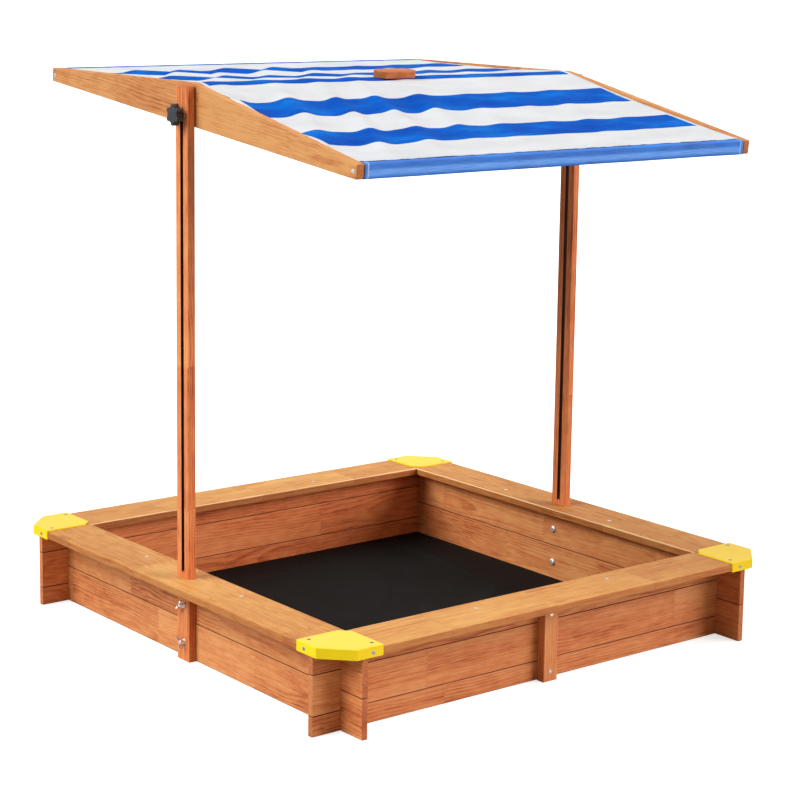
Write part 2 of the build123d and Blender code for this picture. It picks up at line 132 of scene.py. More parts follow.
class Tree:
    """A material's node tree, called t below, with short calls to add nodes and join them."""

    def __init__(self, name):
        self.material = bpy.data.materials.new(name)
        self.material.use_nodes = True
        self.node_tree = self.material.node_tree
        self.shader = self.node_tree.nodes["Principled BSDF"]

    def add(self, kind, **values):
        """A new node of a kind, with these settings."""
        node = self.node_tree.nodes.new("ShaderNode" + kind)
        for key, value in values.items():
            setattr(node, key, value)
        return node

    def join(self, source, target):
        self.node_tree.links.new(source, target)

    def put(self, socket, value):
        """Sets a socket to a number, or joins it to another socket."""
        if isinstance(value, bpy.types.NodeSocket):
            self.join(value, socket)
        else:
            socket.default_value = value

    def set(self, **values):
        """Sets the shader's sockets. Their names have underscores for spaces."""
        for key, value in values.items():
            self.put(self.shader.inputs[key.replace("_", " ")], value)

    def coordinate(self, kind):
        """Where a point is (Object) or which way it faces (Normal)."""
        return self.add("TexCoord").outputs[kind]

    def flat(self):
        """A point's flat place on its cloth."""
        return self.add("UVMap", uv_map="cut").outputs["UV"]

    def split(self, vector):
        """A vector's three numbers."""
        node = self.add("SeparateXYZ")
        self.join(vector, node.inputs[0])
        return node.outputs

    def place(self, vector, move=(0, 0, 0), turn=(0, 0, 0), scale=(1, 1, 1)):
        node = self.add("Mapping")
        self.join(vector, node.inputs["Vector"])
        node.inputs["Location"].default_value = move
        node.inputs["Rotation"].default_value = turn
        node.inputs["Scale"].default_value = scale
        return node.outputs["Vector"]

    def math(self, operation, a, b=0.0, c=0.0, clamp=False):
        node = self.add("Math", operation=operation, use_clamp=clamp)
        for socket, value in zip(node.inputs, (a, b, c)):
            self.put(socket, value)
        return node.outputs[0]

    def map(self, value, low, high, to_low=0.0, to_high=1.0):
        """Runs smoothly from one number to another as the value goes from low to high."""
        node = self.add("MapRange", interpolation_type="SMOOTHSTEP")
        for socket, number in zip(node.inputs, (value, low, high, to_low, to_high)):
            self.put(socket, number)
        return node.outputs[0]

    def band(self, value, start, full, fade, end):
        """Rises from 0 to 1 and falls back to 0 as the value grows."""
        return self.math("SUBTRACT", self.map(value, start, full), self.map(value, fade, end))

    def about_zero(self, value, width):
        """Spreads a value between 0 and 1 over a width with its middle at 0."""
        return self.math("MULTIPLY_ADD", value, width, -width / 2)

    def noise(self, vector, scale, detail=4.0, rough=0.55):
        node = self.add("TexNoise")
        self.join(vector, node.inputs["Vector"])
        for key, value in (("Scale", scale), ("Detail", detail), ("Roughness", rough)):
            node.inputs[key].default_value = value
        return node.outputs["Fac"]

    def cloth_noise(self, flat, across, along, detail, rough=0.55):
        """Noise on a cloth, as fine across it and along it as these say."""
        return self.noise(self.place(flat, scale=(across, along, 1)), 1.0, detail, rough)

    def weave(self, split, pitch):
        """The ups and downs of a plain weave."""
        warp = self.math("SINE", self.math("MULTIPLY", split[0], 2 * math.pi / pitch))
        weft = self.math("SINE", self.math("MULTIPLY", split[1], 2 * math.pi / pitch))
        return self.math("MULTIPLY", warp, weft)

    def ramp(self, value, stops, colours):
        """Blends from colour to colour, each at its stop."""
        node = self.add("ValToRGB")
        elements = node.color_ramp.elements
        while len(elements) < len(stops):
            elements.new(0.5)
        for element, at, colour in zip(elements, stops, colours):
            element.position = at
            element.color = (*colour, 1.0)
        self.join(value, node.inputs["Fac"])
        return node.outputs["Color"]

    def mix(self, share, a, b, blend="MIX"):
        """Puts a share of the colour b over the colour a."""
        node = self.add("Mix", data_type="RGBA", blend_type=blend)
        self.put(node.inputs[0], share)
        for place, value in ((COLOUR_A, a), (COLOUR_B, b)):
            self.put(node.inputs[place], value if isinstance(value, bpy.types.NodeSocket) else (*value, 1.0))
        return node.outputs[COLOUR_OUT]

    def bump(self, height, distance, strength):
        node = self.add("Bump")
        node.inputs["Strength"].default_value = strength
        node.inputs["Distance"].default_value = distance
        self.join(height, node.inputs["Height"])
        self.join(node.outputs["Normal"], self.shader.inputs["Normal"])


# ------------------------------------------------------------------ wood
WOOD_SHADES = ((0.33, 0.088, 0.028), (0.580, 0.212, 0.077), (0.70, 0.330, 0.130))
TONE_STOPS = (0.29, 0.50, 0.71)     # where the dark, middle and light shades stand on the scale of tone
TONE_SHIFT = -0.285                 # brings the sum of the layers to the middle of that scale
BENCH_CONTRAST = 0.78               # how much of the tone's range a bench shows
TINTS = {                           # how a sort of piece differs from the walls' boards
    "bench": (0.96, 1.19, 1.00),
    # the back boards are lighter as painted light on the inside of the back wall, which the lamps light too little
    "back": (1.20, 1.08, 1.06),
    "post": (1.07, 0.94, 0.90),
    "side": (0.86, 0.94, 0.89),
    "block": (0.72, 0.62, 0.64),
    "other": (1.0, 1.0, 1.0),
}
# These multiply the colour underneath.
KNOT_HALO = (0.60, 0.34, 0.22)
EXTRA_STAIN = (0.50, 0.34, 0.26)    # glued joints, and the faces that the grain runs into
SEAM_STAIN = (0.14, 0.06, 0.04)     # a wall board's long edges
BENCH_SIDE_SHADE = (0.74, 0.58, 0.52)     # painted shade on a bench's upright faces
SLOT_SHADE = (0.10, 0.07, 0.06)     # the inside of a post's slot
# These cover it.
KNOT_CORE = (0.16, 0.050, 0.018)
# a painted highlight along a bench's rounded edges towards the pit
BENCH_EDGE_HIGHLIGHT = (0.92, 0.66, 0.38)

RING = 0.0046                       # growth ring spacing
LATE_WOOD = (0.25, 0.88, 0.88, 1.0)     # in rings: where the dark part starts, is full, fades and ends
PITH_AWAY = (0.045, 0.070)          # how far the rings' centre lies from the board's middle
PITH_ASIDE = 0.16                   # the range of its places across the board
PITH_WANDER = 0.050                 # how far it wanders in the board's thickness
PITH_TWIST = 0.016                  # and across the board
LENGTHS = 0.31                      # mean length of the short pieces that are finger-jointed into a board
FINGER = (0.0075, 0.009)            # a joint's finger: width, length
JOINT_LINE = (0.0008, 0.0040)       # in lengths: from a joint to where its line is full, and gone
KNOT_CELLS = (3.6, 13.0)            # cells to a metre, along and across the grain
KNOT_SHARE = 0.12                   # the share of the cells that hold a knot
KNOT_REACH = 0.34                   # in cells: how far a knot pushes the rings aside
KNOT_EDGE = (0.03, 0.10)            # in cells: where its dark core is full, and gone
KNOT_PUSH = 0.014                   # how far the rings are pushed beside the core
SEAM = (0.0016, 0.0002)             # from a board's long edge: where its dark line starts, and is full
HIGHLIGHT_LINE = (0.0044, 0.0030, 0.0022, 0.0014)   # from its upper edge: a painted highlight line's start, full, fade, end
ROUNDED = (0.20, 0.50, 0.88, 0.99)  # how far up a rounded edge's normals point, where a bench gets its painted highlight: start, full, fade, end
SLOT_HALF = 0.0047                  # half the width of a post's slot
SLOT_SOFT = 0.0010                  # how soft the edge of its shade is
SLOT_ENDS = (0.190, 1.140)          # heights of its two ends


def vector_of(axis, along, across):
    """Three numbers: one for the grain's axis and one for the two axes across it."""
    return tuple(along if i == axis else across for i in range(3))


class Board:
    """A piece of wood: its axes, and the sockets that say where a point is from its middle and which way it
    faces."""

    def __init__(self, t, low, high, on_roof):
        size = high - low
        self.axis = max(range(3), key=lambda i: size[i])
        self.thin = min((i for i in range(3) if i != self.axis), key=lambda i: size[i])
        self.wide = 3 - self.axis - self.thin
        self.half = size[self.wide] / 2
        self.centre = (low + high) / 2
        where = t.coordinate("Object")
        if on_roof:
            where = t.place(where, turn=(-ROOF_TILT, 0, 0))
        self.here = t.place(where, move=tuple(-c for c in self.centre))
        self.at = t.split(self.here)
        self.facing = t.split(t.coordinate("Normal"))


def glued_lengths(t, board, rng):
    """Divides a board into its glued lengths. Returns three random numbers for the length that a point is
    on, the coordinates that its grain follows, and how near the point is to a joint."""
    finger = t.math("PINGPONG", board.at[board.wide], FINGER[0] / 2)
    along = t.math("MULTIPLY_ADD", finger, 2 * FINGER[1] / FINGER[0], board.at[board.axis])
    started = t.math("ADD", along, rng.uniform(3.0, 4.0))
    place = t.math("DIVIDE", started, LENGTHS * rng.uniform(0.85, 1.25))
    pick = t.add("TexWhiteNoise", noise_dimensions="1D")
    t.join(t.math("ADD", t.math("FLOOR", place), rng.uniform(0, 90)), pick.inputs["W"])
    own = t.add("SeparateColor")
    t.join(pick.outputs["Color"], own.inputs[0])
    step = t.math("ABSOLUTE", t.math("SUBTRACT", t.math("FRACT", t.math("ADD", place, 0.5)), 0.5))
    joint = t.map(step, *JOINT_LINE, 1.0, 0.0)
    jump = t.add("CombineXYZ")
    t.join(t.math("MULTIPLY", own.outputs[0], 7.0), jump.inputs[board.axis])
    t.join(t.math("MULTIPLY", own.outputs[1], 3.0), jump.inputs[board.wide])
    shifted = t.add("VectorMath", operation="ADD")
    t.join(board.here, shifted.inputs[0])
    t.join(jump.outputs[0], shifted.inputs[1])
    return own.outputs, shifted.outputs[0], joint


def knots(t, board, grain, seed):
    """A few knots: how much they push the rings aside at a point, and their dark cores."""
    cells = t.add("TexVoronoi", feature="F1")
    t.join(t.place(grain, move=seed, scale=vector_of(board.axis, *KNOT_CELLS)), cells.inputs["Vector"])
    cells.inputs["Scale"].default_value = 1.0
    keep = t.add("SeparateColor")
    t.join(cells.outputs["Color"], keep.inputs[0])
    chosen = t.math("GREATER_THAN", keep.outputs[0], 1.0 - KNOT_SHARE)
    distance = cells.outputs["Distance"]
    push = t.math("MULTIPLY", t.map(distance, 0.0, KNOT_REACH, 1.0, 0.0), chosen)
    core = t.math("MULTIPLY", t.map(distance, *KNOT_EDGE, 1.0, 0.0), chosen)
    return push, core


def late_wood(t, board, own, push, cloud, rng):
    """The dark part of each growth ring. The rings lie round a pith beside the board, which wanders."""
    wander = t.about_zero(cloud(1.8, 2.2, 2.0), PITH_WANDER)
    twist = t.about_zero(cloud(5.0, 9.0, 2.0, shift=3.0), PITH_TWIST)
    pith = rng.choice((-1, 1)) * rng.uniform(*PITH_AWAY)
    aside = t.about_zero(own[2], PITH_ASIDE)
    deep = t.math("ADD", t.math("ADD", board.at[board.thin], pith), wander)
    across = t.math("ADD", t.math("ADD", board.at[board.wide], aside), twist)
    squares = t.math("ADD", t.math("MULTIPLY", deep, deep), t.math("MULTIPLY", across, across))
    radius = t.math("SQRT", squares)
    radius = t.math("MULTIPLY_ADD", push, KNOT_PUSH, radius)
    ring = t.math("FRACT", t.math("DIVIDE", radius, RING * rng.uniform(0.85, 1.2)))
    strength = t.map(cloud(2.0, 14.0, 2.0, shift=5.0), 0.3, 0.7, 0.15, 1.0)
    return t.math("MULTIPLY", t.band(ring, *LATE_WOOD), strength)


def seam_stain_and_highlight(t, board, colour):
    """Dark seams at a wall board's long edges, with a painted highlight line beneath the upper one."""
    at = board.at[board.wide]
    edge = t.map(t.math("ABSOLUTE", at), board.half - SEAM[0], board.half - SEAM[1])
    colour = t.mix(t.math("MULTIPLY", edge, 0.93), colour, SEAM_STAIN, "MULTIPLY")
    # painted highlight: a paler line just beneath a board's upper seam
    pale = t.band(at, *(board.half - depth for depth in HIGHLIGHT_LINE))
    return t.mix(t.math("MULTIPLY", pale, 0.35), colour, WOOD_SHADES[2])


def shade_and_highlight_bench(t, board, colour, broad):
    """Painted shade darkens a bench's upright faces, and a painted highlight lightens its rounded edges towards
    the pit.
    """
    up = t.math("ABSOLUTE", board.facing[board.thin])
    outward = t.math("MULTIPLY", board.at[board.wide], math.copysign(1.0, board.centre[board.wide]))
    # painted highlight on the rounded inner edges, where their normals point partly up
    edge_highlight = t.math("MULTIPLY", t.band(up, *ROUNDED), t.math("LESS_THAN", outward, 0.0))
    edge_highlight = t.math("MULTIPLY", edge_highlight, t.map(broad, 0.30, 0.60, 0.55, 0.95))
    colour = t.mix(edge_highlight, colour, BENCH_EDGE_HIGHLIGHT)
    # painted shade: upright faces darker than the top
    return t.mix(t.map(up, 0.30, 0.70, 0.80, 0.0), colour, BENCH_SIDE_SHADE, "MULTIPLY")


def shade_slot(t, board, colour):
    """The inside of a post's slot is dark, as little light reaches it."""
    inside = t.map(t.math("ABSOLUTE", board.at[board.wide]), SLOT_HALF, SLOT_HALF + SLOT_SOFT, 1.0, 0.0)
    upright = t.map(t.math("ABSOLUTE", board.facing[board.axis]), 0.5, 0.9, 1.0, 0.0)
    height = t.math("ADD", board.at[board.axis], board.centre[board.axis])
    over = t.math("GREATER_THAN", height, SLOT_ENDS[0])
    under = t.math("LESS_THAN", height, SLOT_ENDS[1])
    inside = t.math("MULTIPLY", t.math("MULTIPLY", over, under), inside)
    return t.mix(t.math("MULTIPLY", inside, upright), colour, SLOT_SHADE, "MULTIPLY")


def wood(name, low, high, rng, on_roof, tint, look):
    """Stained softwood glued up from short lengths: each has its own tone, growth rings and streaks.
    The look is plain, board, bench or post."""
    t = Tree("wood_" + name)
    board = Board(t, low, high, on_roof)
    seed = tuple(rng.uniform(-9, 9) for _ in range(3))
    own, grain, joint = glued_lengths(t, board, rng)
    push, core = knots(t, board, grain, seed)

    def cloud(along, across, detail, rough=0.55, shift=0.0):
        """Noise as fine along and across the grain as these say. The shift makes each one different."""
        move = tuple(v + shift for v in seed)
        moved = t.place(grain, move=move, scale=vector_of(board.axis, along, across))
        return t.noise(moved, 1.0, detail, rough)

    late = late_wood(t, board, own, push, cloud, rng)
    streaks = cloud(6.0, 190.0, 4.0, 0.65, 1.0)
    dashes = cloud(30.0, 330.0, 2.0, 0.6, 6.0)
    fibres = cloud(16.0, 800.0, 2.0, 0.6, 7.0)
    broad = cloud(2.6, 16.0, 3.0, 0.55, 2.0)
    blotch = cloud(24.0, 40.0, 3.0, 0.6, 4.0)
    tone = t.math("MULTIPLY_ADD", streaks, 0.42, TONE_SHIFT + rng.uniform(-0.03, 0.03))
    layers = ((dashes, 0.34), (late, -0.17), (broad, 0.38), (blotch, 0.30), (fibres, 0.24), (own[0], 0.12))
    for layer, weight in layers:
        tone = t.math("MULTIPLY_ADD", layer, weight, tone)
    if look == "bench":
        tone = t.math("MULTIPLY_ADD", tone, BENCH_CONTRAST, (1.0 - BENCH_CONTRAST) / 2)

    shades = [tuple(c * k for c, k in zip(shade, tint)) for shade in WOOD_SHADES]
    colour = t.ramp(tone, TONE_STOPS, shades)
    colour = t.mix(t.math("MULTIPLY", push, 0.22), colour, KNOT_HALO, "MULTIPLY")
    colour = t.mix(t.math("MULTIPLY", core, 0.62), colour, KNOT_CORE)
    colour = t.mix(t.math("MULTIPLY", joint, 0.30), colour, EXTRA_STAIN, "MULTIPLY")
    end = t.map(t.math("ABSOLUTE", board.facing[board.axis]), 0.75, 0.92)
    colour = t.mix(t.math("MULTIPLY", end, 0.45), colour, EXTRA_STAIN, "MULTIPLY")
    if look == "board":
        colour = seam_stain_and_highlight(t, board, colour)
    if look == "bench":
        colour = shade_and_highlight_bench(t, board, colour, broad)
    if look == "post":
        colour = shade_slot(t, board, colour)

    t.set(Base_Color=colour, Specular_IOR_Level=0.34, IOR=1.46)
    rough = t.math("MULTIPLY_ADD", streaks, -0.16, 0.66)
    t.set(Roughness=t.math("MULTIPLY_ADD", late, -0.05, rough))
    relief = t.math("MULTIPLY_ADD", fibres, 0.5, t.math("MULTIPLY", late, 0.4))
    relief = t.math("MULTIPLY_ADD", streaks, 0.7, relief)
    t.bump(t.math("MULTIPLY_ADD", dashes, 0.5, relief), 0.0004, 0.75)
    return t.material


def sort_of(name, slot):
    """The look and the tint of a wooden node."""
    if "_board_" in name:
        return "board", TINTS["back" if name.startswith("back_") else "other"]
    if slot == "bench_wood":
        return "bench", TINTS["bench"]
    if name.startswith("post_"):
        return "post", TINTS["post"]
    if name.startswith("roof_side"):
        return "plain", TINTS["side"]
    return "plain", TINTS["block" if name == "ridge_block" else "other"]


def wooden_nodes():
    """Gives every wooden node a board of its own."""
    rng = random.Random(11)
    slots = {s["node"]: s["material_slot"] for s in frame["record"]["subparts"]}
    roof = frame["record"]["behaviour"]["bodies"]["roof"]
    for name in sorted(n for n, s in slots.items() if s in ("wood", "bench_wood")):
        low, high = level_box(name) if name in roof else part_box(name)
        look, tint = sort_of(name, slots[name])
        paint(nodes[name], wood(name, low, high, rng, name in roof, tint, look))


wooden_nodes()


# ------------------------------------------------------------------ plastic and metal
CAP_YELLOWS = ((0.80, 0.60, 0.004), (0.85, 0.645, 0.007))
CAP_TOP_SHEEN = (0.87, 0.65, 0.11)       # a painted sheen on the caps' tops
KNOB_BLACKS = ((0.012, 0.012, 0.014), (0.030, 0.030, 0.034))
METALS = {                              # darkest tone, lightest tone, roughness
    "zinc_plate": ((0.76, 0.76, 0.77), (0.93, 0.93, 0.94), 0.34),
    "zinc_dull": ((0.34, 0.34, 0.35), (0.56, 0.56, 0.57), 0.46),
    "zinc_bright": ((0.88, 0.88, 0.89), (0.97, 0.97, 0.97), 0.48),
    "turned_brass": ((0.55, 0.40, 0.14), (0.72, 0.54, 0.22), 0.30),
}


def cap_plastic():
    """Yellow moulded plastic with a fine grain, and a painted sheen where it faces up."""
    t = Tree("cap_yellow")
    where = t.coordinate("Object")
    mottle = t.noise(where, 18.0, 3.0)
    colour = t.ramp(mottle, (0.3, 0.7), CAP_YELLOWS)
    # painted sheen: paler where the normal points up
    top_sheen = t.map(t.split(t.coordinate("Normal"))[2], 0.7, 0.95, 0.0, 0.8)
    colour = t.mix(top_sheen, colour, CAP_TOP_SHEEN)
    t.set(Base_Color=colour, Specular_IOR_Level=0.35)
    t.set(Roughness=t.map(mottle, 0.2, 0.8, 0.46, 0.60))
    t.bump(t.noise(where, 1400.0, 2.0), 0.00006, 0.6)
    return t.material


def knob_plastic():
    """Black moulded plastic with a fine grain."""
    t = Tree("knob_black")
    where = t.coordinate("Object")
    grain = t.noise(where, 900.0, 3.0)
    colour = t.ramp(t.noise(where, 60.0), (0.3, 0.7), KNOB_BLACKS)
    t.set(Base_Color=colour, Roughness=t.map(grain, 0.3, 0.7, 0.24, 0.36), Specular_IOR_Level=0.75)
    t.bump(grain, 0.0001, 0.7)
    return t.material


def metal(name):
    """Plated or turned metal with cloudy tone and fine scratches."""
    low, high, rough = METALS[name]
    t = Tree(name)
    where = t.coordinate("Object")
    cloud = t.noise(where, 220.0)
    scratch = t.noise(t.place(where, scale=(1, 1, 9)), 700.0, 2.0)
    t.set(Base_Color=t.ramp(cloud, (0.3, 0.7), (low, high)), Metallic=1.0)
    t.set(Roughness=t.map(cloud, 0.25, 0.75, rough - 0.08, rough + 0.1))
    t.bump(scratch, 0.00004, 0.5)
    return t.material


def other_nodes():
    """Gives the caps, the knobs and the fasteners their materials."""
    by_slot = {
        "cap_plastic": cap_plastic(),
        "knob_plastic": knob_plastic(),
        "zinc_steel": metal("zinc_plate"),
        "brass": metal("turned_brass"),
    }
    by_node = {"cap_screws": metal("zinc_dull"), "post_bolts": metal("zinc_bright")}
    for part in frame["record"]["subparts"]:
        name, slot = part["node"], part["material_slot"]
        if slot in by_slot:
            paint(nodes[name], by_node.get(name, by_slot[slot]))


other_nodes()


# ------------------------------------------------------------------ canopy cloth
bar_low, bar_high = level_box("roof_bar_front")
ridge_high = level_box("roof_ridge_bar")[1]
CLOTH_HALF_W = level_box("roof_fabric")[1].x
CLOTH_T = 0.0008
HEM = 0.009                                 # width of the hem at each side
HEM_LINE = 0.0022                           # width of the pale line along its inner side, on the sleeve
CANOPY_YARN = 0.0011                        # pitch of the weave
EDGE_WOBBLE = 0.0012                        # how unevenly the stripes are printed

# Distances from the ridge on the flat cloth. Where there are four: start, full, fade and end.
RIDGE_STRIPE = 0.022                        # half the blue stripe on the ridge
BLUE_STRIPES = ((0.128, 0.228), (0.338, 0.428), (0.538, 9.0))   # the last one is the sleeve
SLEEVE_FROM = BLUE_STRIPES[-1][0]
CREASE = (0.5345, 0.5362, 0.5400, 0.5424)   # painted shade in the crease between the slope and the sleeve
SLEEVE_HIGHLIGHT = (0.5410, 0.5450, 0.584, 0.592)    # the sleeve's outer face, which carries a painted highlight
SLEEVE_HIGHLIGHT_STREAK = (0.562, 0.568, 0.572, 0.579)    # the brightest streak of that painted highlight, along the middle of that face
HIGHLIGHT_BESIDE_STREAK = 0.44                               # how strong the painted highlight is on the rest of the face beside the streak

WHITES = ((0.540, 0.575, 0.585), (0.620, 0.650, 0.655))
BLUES = ((0.001, 0.070, 0.37), (0.001, 0.102, 0.45), (0.002, 0.165, 0.56))
BLUE_HIGHLIGHT = (0.225, 0.470, 0.93)
HEM_BLUE = (0.10, 0.27, 0.66)
HEM_PALE = (0.44, 0.56, 0.80)
CREASE_SHADE = (0.008, 0.016, 0.055)
SLUB_SHADE = (0.72, 0.76, 0.84)             # multiplies the colour between the thicker yarns


def canopy_cloth():
    """Printed stripes along the ridge by the cloth's own flat coordinates, white hems at the sides, plain weave.
    On the sleeves the hems are blue, a painted highlight runs along each sleeve's outer face, and painted shade
    lies in the crease above it."""
    t = Tree("canopy_cloth")
    flat = t.flat()
    split = t.split(flat)
    across = t.math("ABSOLUTE", split[0])
    uneven = t.about_zero(t.cloth_noise(flat, 9, 30, 2.0), EDGE_WOBBLE)
    along = t.math("ADD", t.math("ABSOLUTE", split[1]), uneven)
    blue = t.math("LESS_THAN", along, RIDGE_STRIPE)
    for low, high in BLUE_STRIPES:
        stripe = t.math("MULTIPLY", t.math("GREATER_THAN", along, low), t.math("LESS_THAN", along, high))
        blue = t.math("ADD", blue, stripe)
    inside = t.math("LESS_THAN", across, CLOTH_HALF_W - HEM)
    blue = t.math("MULTIPLY", blue, inside, clamp=True)

    cloud = t.cloth_noise(flat, 7, 16, 4.0)
    whites = t.ramp(cloud, (0.3, 0.7), WHITES)
    blues = t.ramp(cloud, (0.32, 0.52, 0.70), BLUES)
    # painted highlight along the sleeve's outer face, brightest in a streak down its middle
    streak = t.math("MULTIPLY_ADD", t.band(along, *SLEEVE_HIGHLIGHT_STREAK), 1.0 - HIGHLIGHT_BESIDE_STREAK, HIGHLIGHT_BESIDE_STREAK)
    sleeve_highlight = t.math("MULTIPLY", streak, t.band(along, *SLEEVE_HIGHLIGHT))
    hairs = t.map(t.cloth_noise(flat, 22, 900, 3.0), 0.30, 0.70, 0.55, 1.0)
    blues = t.mix(t.math("MULTIPLY", sleeve_highlight, hairs), blues, BLUE_HIGHLIGHT)
    colour = t.mix(blue, whites, blues)

    on_sleeve = t.math("GREATER_THAN", along, SLEEVE_FROM)
    hem = t.mix(t.math("LESS_THAN", across, CLOTH_HALF_W - HEM + HEM_LINE), HEM_BLUE, HEM_PALE)
    colour = t.mix(t.math("MULTIPLY", on_sleeve, t.math("SUBTRACT", 1.0, inside)), colour, hem)
    uneven = t.map(t.cloth_noise(flat, 38, 1, 2.0), 0.35, 0.62)
    # painted shade along the crease where the slope meets the sleeve
    crease = t.math("MULTIPLY", t.band(along, *CREASE), uneven)
    colour = t.mix(t.math("MULTIPLY", crease, 0.85), colour, CREASE_SHADE)
    slub = t.cloth_noise(flat, 260, 1100, 3.0)
    colour = t.mix(t.map(slub, 0.3, 0.7, 0.10, 0.0), colour, SLUB_SHADE, "MULTIPLY")

    thread = t.math("MULTIPLY_ADD", t.weave(split, CANOPY_YARN), 0.35, slub)
    t.set(Base_Color=colour, Sheen_Weight=0.01, Sheen_Roughness=0.4, Specular_IOR_Level=0.05)
    t.set(Roughness=t.map(thread, 0.2, 0.9, 0.66, 0.82))
    t.bump(thread, 0.0002, 0.6)
    return t.material


# ------------------------------------------------------------------ canopy shape
SLEEVE_EASE = 0.0009        # slack between a bar and the cloth's inside
SLEEVE_BULGE = 0.0010       # how much further it stands off in the middle of its way round
SLEEVE_CORNER = 0.0034      # radius of the cloth round the bar's edges
TUCK = (0.001, 0.0012)      # where the cloth's end lies in the sleeve: inwards, and below the upper layer
TUCK_POINTS = 3             # points of the profile that are tucked in
CROWN_LIFT = 0.0012         # from the ridge bar's top to the middle of the cloth
CROWN_R = 0.010             # radius of the cloth over the ridge bar's edge
CROWN_EDGE = 0.0025         # how far inside that edge the cloth starts to bend
HEM_RISE = 0.0005           # the hem is folded over, so it lies this much higher
HEM_STEP = 0.0003           # the width of the step up to it

SAG = 0.007                 # how far the middle of each half hangs
FOLD_LEAN = (0.936, 0.351)  # which way one fold follows another: across, and down the slope
FOLD_RIGHT = 0.0007         # height of the folds on the right-hand side
FOLD_MORE = 0.0031          # how much higher they are on the left
FOLD_CHANGE = (0.06, 0.11)  # where one becomes the other, and how gradually
FOLD_PITCH = 0.112
FOLD_START = 0.087
FOLD_WANDER = 0.030
SLOW_PITCH = 0.171          # of a second set of folds that mixes with the first
BROAD = 0.0014              # height of the broad unevenness
PUCKER = 0.0011             # height of the small puckers at the sleeve
PUCKER_REACH = 0.012        # how far they run up the slope


def noise_at(x, y, z):
    return noise.noise(Vector((x, y, z)))


def arc(centre, radius, start, end, steps):
    """Points of an arc from one angle to the other, without its first point."""
    out = []
    for i in range(1, steps + 1):
        angle = math.radians(start + (end - start) * i / steps)
        out.append((centre[0] + radius * math.cos(angle), centre[1] + radius * math.sin(angle)))
    return out


def line(a, b, steps):
    """Points of a straight run, without its first point."""
    run = (b[0] - a[0], b[1] - a[1])
    return [(a[0] + run[0] * i / steps, a[1] + run[1] * i / steps) for i in range(1, steps + 1)]


def half_profile():
    """The cloth's middle line from the ridge to the front: (how far out, height) down the slope and round
    the bar. Returns the points and how many of them lie on the slope."""
    grow = SLEEVE_EASE + CLOTH_T / 2
    corner = SLEEVE_CORNER
    back, front = -bar_high.y - grow, -bar_low.y + grow
    bottom, top = bar_low.z - grow, bar_high.z + grow
    crown = ridge_high.z + CROWN_LIFT
    level = ridge_high.y - CROWN_EDGE
    eaves = (back + corner, top)
    slope = math.degrees(math.atan2(crown - top, eaves[0] - level))
    points = [(0.0, crown)] + line((0.0, crown), (level, crown), 2)
    points += arc((level, crown - CROWN_R), CROWN_R, 90, 90 - slope, 3)
    points += line(points[-1], eaves, 84)
    on_slope = len(points)
    points += line(eaves, (front - corner, top), 6)
    points += arc((front - corner, top - corner), corner, 90, 0, 5)
    points += line(points[-1], (front, bottom + corner), 10)
    points += arc((front - corner, bottom + corner), corner, 0, -90, 5)
    points += line(points[-1], (back + corner, bottom), 6)
    points += arc((back + corner, bottom + corner), corner, -90, -180, 5)
    points += line(points[-1], (back, top - corner), 8)
    points += line(points[-1], (back + TUCK[0], top - CLOTH_T - TUCK[1]), 2)
    return points, on_slope


def fold(x, out, end):
    """Height of the slack cloth above its straight line, at x across and a distance out from the ridge."""
    reach = -bar_high.y
    share = min(max(out / reach, 0.0), 1.0)
    hold = math.sin(math.pi * share) ** 0.55 if 0 < share < 1 else 0.0
    sag = -SAG * 4 * share * (1 - share) * (1.0 - 0.35 * (x / CLOTH_HALF_W) ** 2)
    lean = FOLD_LEAN[0] * x + FOLD_LEAN[1] * out
    wander = noise_at(x * 3.4, end * out * 3.0, 1.7)
    strength = FOLD_MORE / (1 + math.exp((x - FOLD_CHANGE[0]) / FOLD_CHANGE[1])) + FOLD_RIGHT
    strength *= max(0.15, 0.85 + 1.1 * noise_at(x * 4.6, out * 3.4, 8.0 + end))
    phase = 2 * math.pi * (lean + FOLD_START + FOLD_WANDER * wander) / FOLD_PITCH
    waves = math.cos(phase + 0.35 * math.sin(phase)) + 0.12 * math.cos(2 * phase + 0.8 + 2.0 * wander)
    slow = 2 * math.pi * (lean * 0.8 + 0.2 * x + 0.05 * wander) / SLOW_PITCH
    waves += 0.40 * math.cos(slow + 1.1 * end)
    broad = BROAD * noise_at(x * 2.2 + 4.0, end * out * 5.0, 3.0)
    if out >= reach:
        return sag + hold * (strength * waves + broad)
    pucker = PUCKER * math.exp(-(reach - out) / PUCKER_REACH) * noise_at(x * 62.0, out * 12.0, 5.0 * end)
    return sag + hold * (strength * waves + broad) + pucker


def sleeve_push(x, share, end):
    """How far the sleeve's cloth stands off its bar, at a share of its way round the bar."""
    belly = SLEEVE_BULGE * math.sin(math.pi * share) ** 2
    return belly * (0.6 + 0.8 * noise_at(x * 7.0, share * 2.0, 2.0 + end))


def make_mesh(name, rows, flat, material, body):
    """A smooth grid mesh from rows of points, with each point's flat place on the cloth as its UV."""
    mesh = bpy.data.meshes.new(name)
    count = len(rows[0])
    faces = []
    for row in range(len(rows) - 1):
        for column in range(count - 1):
            first = row * count + column
            faces.append((first, first + 1, first + count + 1, first + count))
    mesh.from_pydata([point for row in rows for point in row], [], faces)
    layer = mesh.uv_layers.new(name="cut")
    places = [place for row in flat for place in row]
    for loop in mesh.loops:
        layer.data[loop.index].uv = places[loop.vertex_index]
    mesh.polygons.foreach_set("use_smooth", [True] * len(mesh.polygons))
    mesh.update()
    obj = add_object(name, mesh)
    paint(obj, material)
    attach(obj, body)
    return obj


